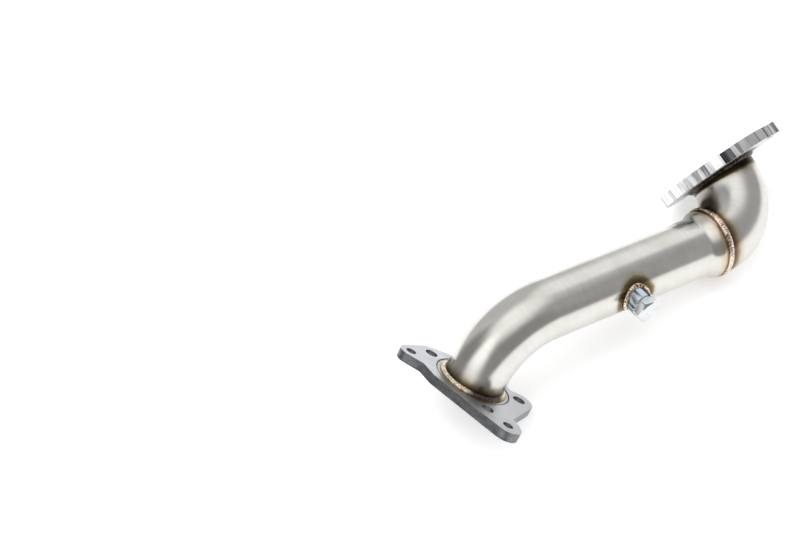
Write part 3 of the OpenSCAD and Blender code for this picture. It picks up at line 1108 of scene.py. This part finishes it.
@dataclass
class Studio:
    """The floor, the surroundings that the metal reflects, the lamps and the camera."""

    panels: Tuple[Panel, ...] = (
        Panel(-90, 18, 42, 32, 0.31, 24),
        Panel(-24, 20, 32, 34, 0.42, 26),
        Panel(150, 22, 30, 34, 0.30, 30),
        Panel(85, 22, 32, 40, 0.62, 24),
        Panel(-158, 50, 24, 18, 1.5, 16),
        Panel(30, 42, 24, 16, 1.08, 16),
        Panel(0, 90, 180, 22, 1.25, 22),
    )
    dome_radius: float = 6.0
    camera_at: Triple = (-0.44126, -0.621835, 1.040041)
    camera_to: Triple = (-0.171504, 0.16236, 0.04)
    camera_roll: float = 13.182
    lens: float = 54.0
    sensor: float = 36.0
    floor_half: float = 5.0

    def surroundings(self) -> None:
        """Builds the dome whose panels show only in the metal."""
        rows, cols = 46, 120
        points = np.zeros((rows, cols, 3))
        values = np.zeros((rows, cols, 1))
        for i in range(rows):
            elevation = -2 + 92.0 * i / (rows - 1)
            for j in range(cols):
                azimuth = -180 + 360.0 * j / cols
                flat = math.cos(math.radians(elevation)) * self.dome_radius / MM
                points[i, j] = (flat * math.cos(math.radians(azimuth)), flat * math.sin(math.radians(azimuth)), math.sin(math.radians(elevation)) * self.dome_radius / MM)
                value = 1.0
                for panel in self.panels:
                    cover = panel.cover(azimuth, elevation)
                    value = value * (1 - cover) + panel.value * cover
                values[i, j] = value
        obj = grid_object("surroundings", points, {"light": values}, flip=True)
        w = Wiring("surroundings")
        glow = w.tree.nodes.new("ShaderNodeEmission")
        w.join(w.attribute("light", vector=False), glow.inputs["Strength"])
        w.tree.nodes.remove(w.shader)
        w.join(glow.outputs[0], w.output.inputs["Surface"])
        obj.data.materials.append(w.material)
        obj.visible_camera = False
        obj.visible_diffuse = False
        obj.visible_shadow = False

    def floor(self) -> None:
        """Builds the white floor, which keeps the part's shadow."""
        half = self.floor_half / MM
        corners = np.array([[[-half, -half, 0], [half, -half, 0]], [[-half, half, 0], [half, half, 0]]], float)
        obj = grid_object("floor", corners, wrap_cols=False)
        w = Wiring("floor")
        w.shader.inputs["Base Color"].default_value = (0.8, 0.8, 0.8, 1.0)
        w.shader.inputs["Roughness"].default_value = 0.9
        w.shader.inputs["Specular IOR Level"].default_value = 0.0
        path = w.tree.nodes.new("ShaderNodeLightPath")
        seen = w.math("MAXIMUM", path.outputs["Is Camera Ray"], path.outputs["Is Glossy Ray"])
        seen = w.math("MAXIMUM", seen, path.outputs["Is Transmission Ray"])
        w.shader.inputs["Emission Color"].default_value = (1.0, 1.0, 1.0, 1.0)
        w.join(w.math("MULTIPLY", seen, 0.5), w.shader.inputs["Emission Strength"])
        obj.data.materials.append(w.material)

    def world(self) -> None:
        """Sets the world white where it is seen, and soft for the rest."""
        world = bpy.data.worlds.new("white")
        bpy.context.scene.world = world
        world.use_nodes = True
        tree = world.node_tree
        tree.nodes.clear()
        path = tree.nodes.new("ShaderNodeLightPath")
        seen = tree.nodes.new("ShaderNodeMath")
        seen.operation = "MAXIMUM"
        tree.links.new(path.outputs["Is Camera Ray"], seen.inputs[0])
        tree.links.new(path.outputs["Is Glossy Ray"], seen.inputs[1])
        strength = tree.nodes.new("ShaderNodeMapRange")
        strength.inputs["To Min"].default_value = 0.36
        strength.inputs["To Max"].default_value = 1.0
        tree.links.new(seen.outputs[0], strength.inputs["Value"])
        back = tree.nodes.new("ShaderNodeBackground")
        back.inputs["Color"].default_value = (1.0, 1.0, 1.0, 1.0)
        tree.links.new(strength.outputs["Result"], back.inputs["Strength"])
        out = tree.nodes.new("ShaderNodeOutputWorld")
        tree.links.new(back.outputs[0], out.inputs["Surface"])

    def lamp(self, name: str, at: Triple, watts: float, size: float) -> None:
        """Hangs a softbox that lights the floor and pieces but isn't mirrored in the metal."""
        data = bpy.data.lights.new(name, "AREA")
        data.energy = watts
        data.shape = "DISK"
        data.size = size
        obj = bpy.data.objects.new(name, data)
        bpy.context.scene.collection.objects.link(obj)
        obj.location = at
        obj.rotation_euler = (-Vector(at)).to_track_quat("-Z", "Y").to_euler()
        obj.visible_glossy = False

    def camera(self) -> None:
        """Sets the camera at the photograph's view of the part."""
        data = bpy.data.cameras.new("camera")
        data.lens = self.lens
        data.sensor_width = self.sensor
        obj = bpy.data.objects.new("camera", data)
        bpy.context.scene.collection.objects.link(obj)
        forward = (Vector(self.camera_to) - Vector(self.camera_at)).normalized()
        up = Vector((0, 0, 1))
        up = (up - forward * up.dot(forward)).normalized()
        up = Matrix.Rotation(math.radians(self.camera_roll), 3, forward) @ up
        right = forward.cross(up)
        pose = Matrix((right, up, -forward)).transposed().to_4x4()
        pose.translation = Vector(self.camera_at)
        obj.matrix_world = pose
        bpy.context.scene.camera = obj

    def build(self) -> None:
        """Builds the studio and sets the view."""
        self.camera()
        self.floor()
        self.surroundings()
        self.world()
        self.lamp("key", (-0.6, 0.7, 2.0), 30, 2.2)
        self.lamp("fill", (0.7, -0.6, 2.2), 18, 2.4)
        bpy.context.scene.view_settings.view_transform = "Standard"


# ---------------------------------------------------------------- the whole part


@dataclass
class Downpipe:
    """The turbo downpipe, from its outlet flange to its turbo flange."""

    route: Route = field(default_factory=Route)

    def flanges(self) -> None:
        """Builds the two flange plates."""
        holes = ((51.5, 118.0, 6.5), (51.5, -29.0, 6.5), (51.5, -108.0, 6.5), (68.0, 140.5, 5.25), (75.5, -96.5, 5.25))
        outlet = FlangePlate("outlet_flange", "outlet_plate", self.route.outlet(), 10.0, Slot.PLATE, holes, (39.7, 8.5, 1.1))
        outlet.build(PlateFinish("ground_plate", 35.2, HeatTint(RECESS, 6.0)))
        turbo = FlangePlate("turbo_flange", "turbo_plate", self.route.turbo(), 12.5, Slot.FLANGE)
        # The turbo flange's back face goes near black round the bore, partly smoke and partly painted shade; its inner
        # cut sides carry painted shade.
        milled = PlateFinish(
            "milled_plate", 40.6, HeatTint(SMOKED_AND_SHADED, 9.0), face=(0.74, 0.75, 0.76), cut=(0.90, 0.90, 0.91),
            cut_rough=(0.10, 0.20), notch_shade=(63.0, 66.6), blotch=0.30, blotch_band=(0.40, 0.52), blotch_rise=0.01, tint_rise=(9.0, 5.0),
        )
        turbo.build(milled)

    def welds(self) -> None:
        """Builds the rippled beads."""
        copper = BeadFinish("copper_bead", crest=(1.0, 0.87, 0.73), body=(0.74, 0.54, 0.41))
        cream = BeadFinish("cream_bead", crest=(1.0, 0.94, 0.80), body=(0.88, 0.74, 0.54), valley_shade=(0.22, 0.14, 0.09), grain=0.7)
        # The turbo bead's finish is near black: partly smoked weld metal, partly painted shade under the flange.
        dark = BeadFinish("smoked_and_shaded_bead", crest=(0.11, 0.08, 0.065), body=(0.03, 0.022, 0.018), valley_shade=(0.008, 0.007, 0.006), rough=(0.22, 0.4))
        outlet = self.route.outlet()
        turbo = self.route.turbo()
        FilletBead("outlet_bead", outlet, pitch=1.4, depth=0.22, rough=0.3, darkness=self.outlet_smoke).build(cream, Slot.WELD, "outlet_weld")
        RootBead("outlet_root_bead", outlet, pitch=3.0, depth=0.12).build(copper, Slot.WELD, "outlet_root_weld")
        ButtBead("elbow_bead", self.route.weld(), pitch=2.7, depth=0.36, rough=0.2).build(copper, Slot.WELD, "elbow_weld")
        FilletBead("turbo_bead", turbo, radius=36.5, leg=4.5, height=0.0, side=Side.BACK).build(dark, Slot.DARK_WELD, "turbo_weld")
        root = RootBead("turbo_root_bead", turbo, radius=36.6, leg=2.1, height=10.0, side=Side.BACK, pitch=3.0, depth=0.12)
        root.build(copper, Slot.WELD, "turbo_root_weld")
        SaddleBead(self.route.bung()).build(copper)

    @staticmethod
    def outlet_smoke(angle_deg: float) -> float:
        """Returns how dark the outlet bead is at an angle, most where the lower joint hole is."""
        away = abs((angle_deg - 262 + 180) % 360 - 180)
        return 0.95 * min(max((44 - away) / 16, 0.0), 1.0)

    def build(self) -> None:
        """Builds every piece of the part."""
        pipe_tints = (HeatTint(FLANGE_SIDE, 13.0), HeatTint(PIPE_SIDE, 12.0), HeatTint(HALO, 9.5))
        # The elbow's second tint, next to the turbo flange, is partly painted shade.
        elbow_tints = (HeatTint(ELBOW_SIDE, 15.0), HeatTint(SMOKED_AND_SHADED, 14.0), HeatTint())
        MainPipe(self.route).build(TubeFinish("satin_tube", pipe_tints))
        InletElbow(self.route).build(TubeFinish("satin_elbow", elbow_tints, rough=(0.26, 0.27), brushing=0.0002))
        self.flanges()
        self.welds()
        bung = SensorBung(self.route.bung())
        # The collar's finish carries the painted reflection bands at 0.9.
        bung.collar(TurnedFinish("turned_steel", (0.66, 0.70, 0.76), (0.56, 0.60, 0.65), (0.06, 0.12), painted_reflection=0.9))
        bung.ring(TurnedFinish("seal_ring", (0.84, 0.85, 0.86), (0.74, 0.75, 0.76), (0.08, 0.14)))
        bung.plug(TurnedFinish("zinc_plate", (0.73, 0.76, 0.78), (0.62, 0.65, 0.67), (0.10, 0.18)))


def main() -> None:
    """Builds the part and its studio, and logs each piece's face count."""
    logging.basicConfig(level=logging.INFO, format="%(message)s")
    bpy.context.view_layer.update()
    Studio().build()
    Downpipe().build()


if __name__ == "__main__":
    main()
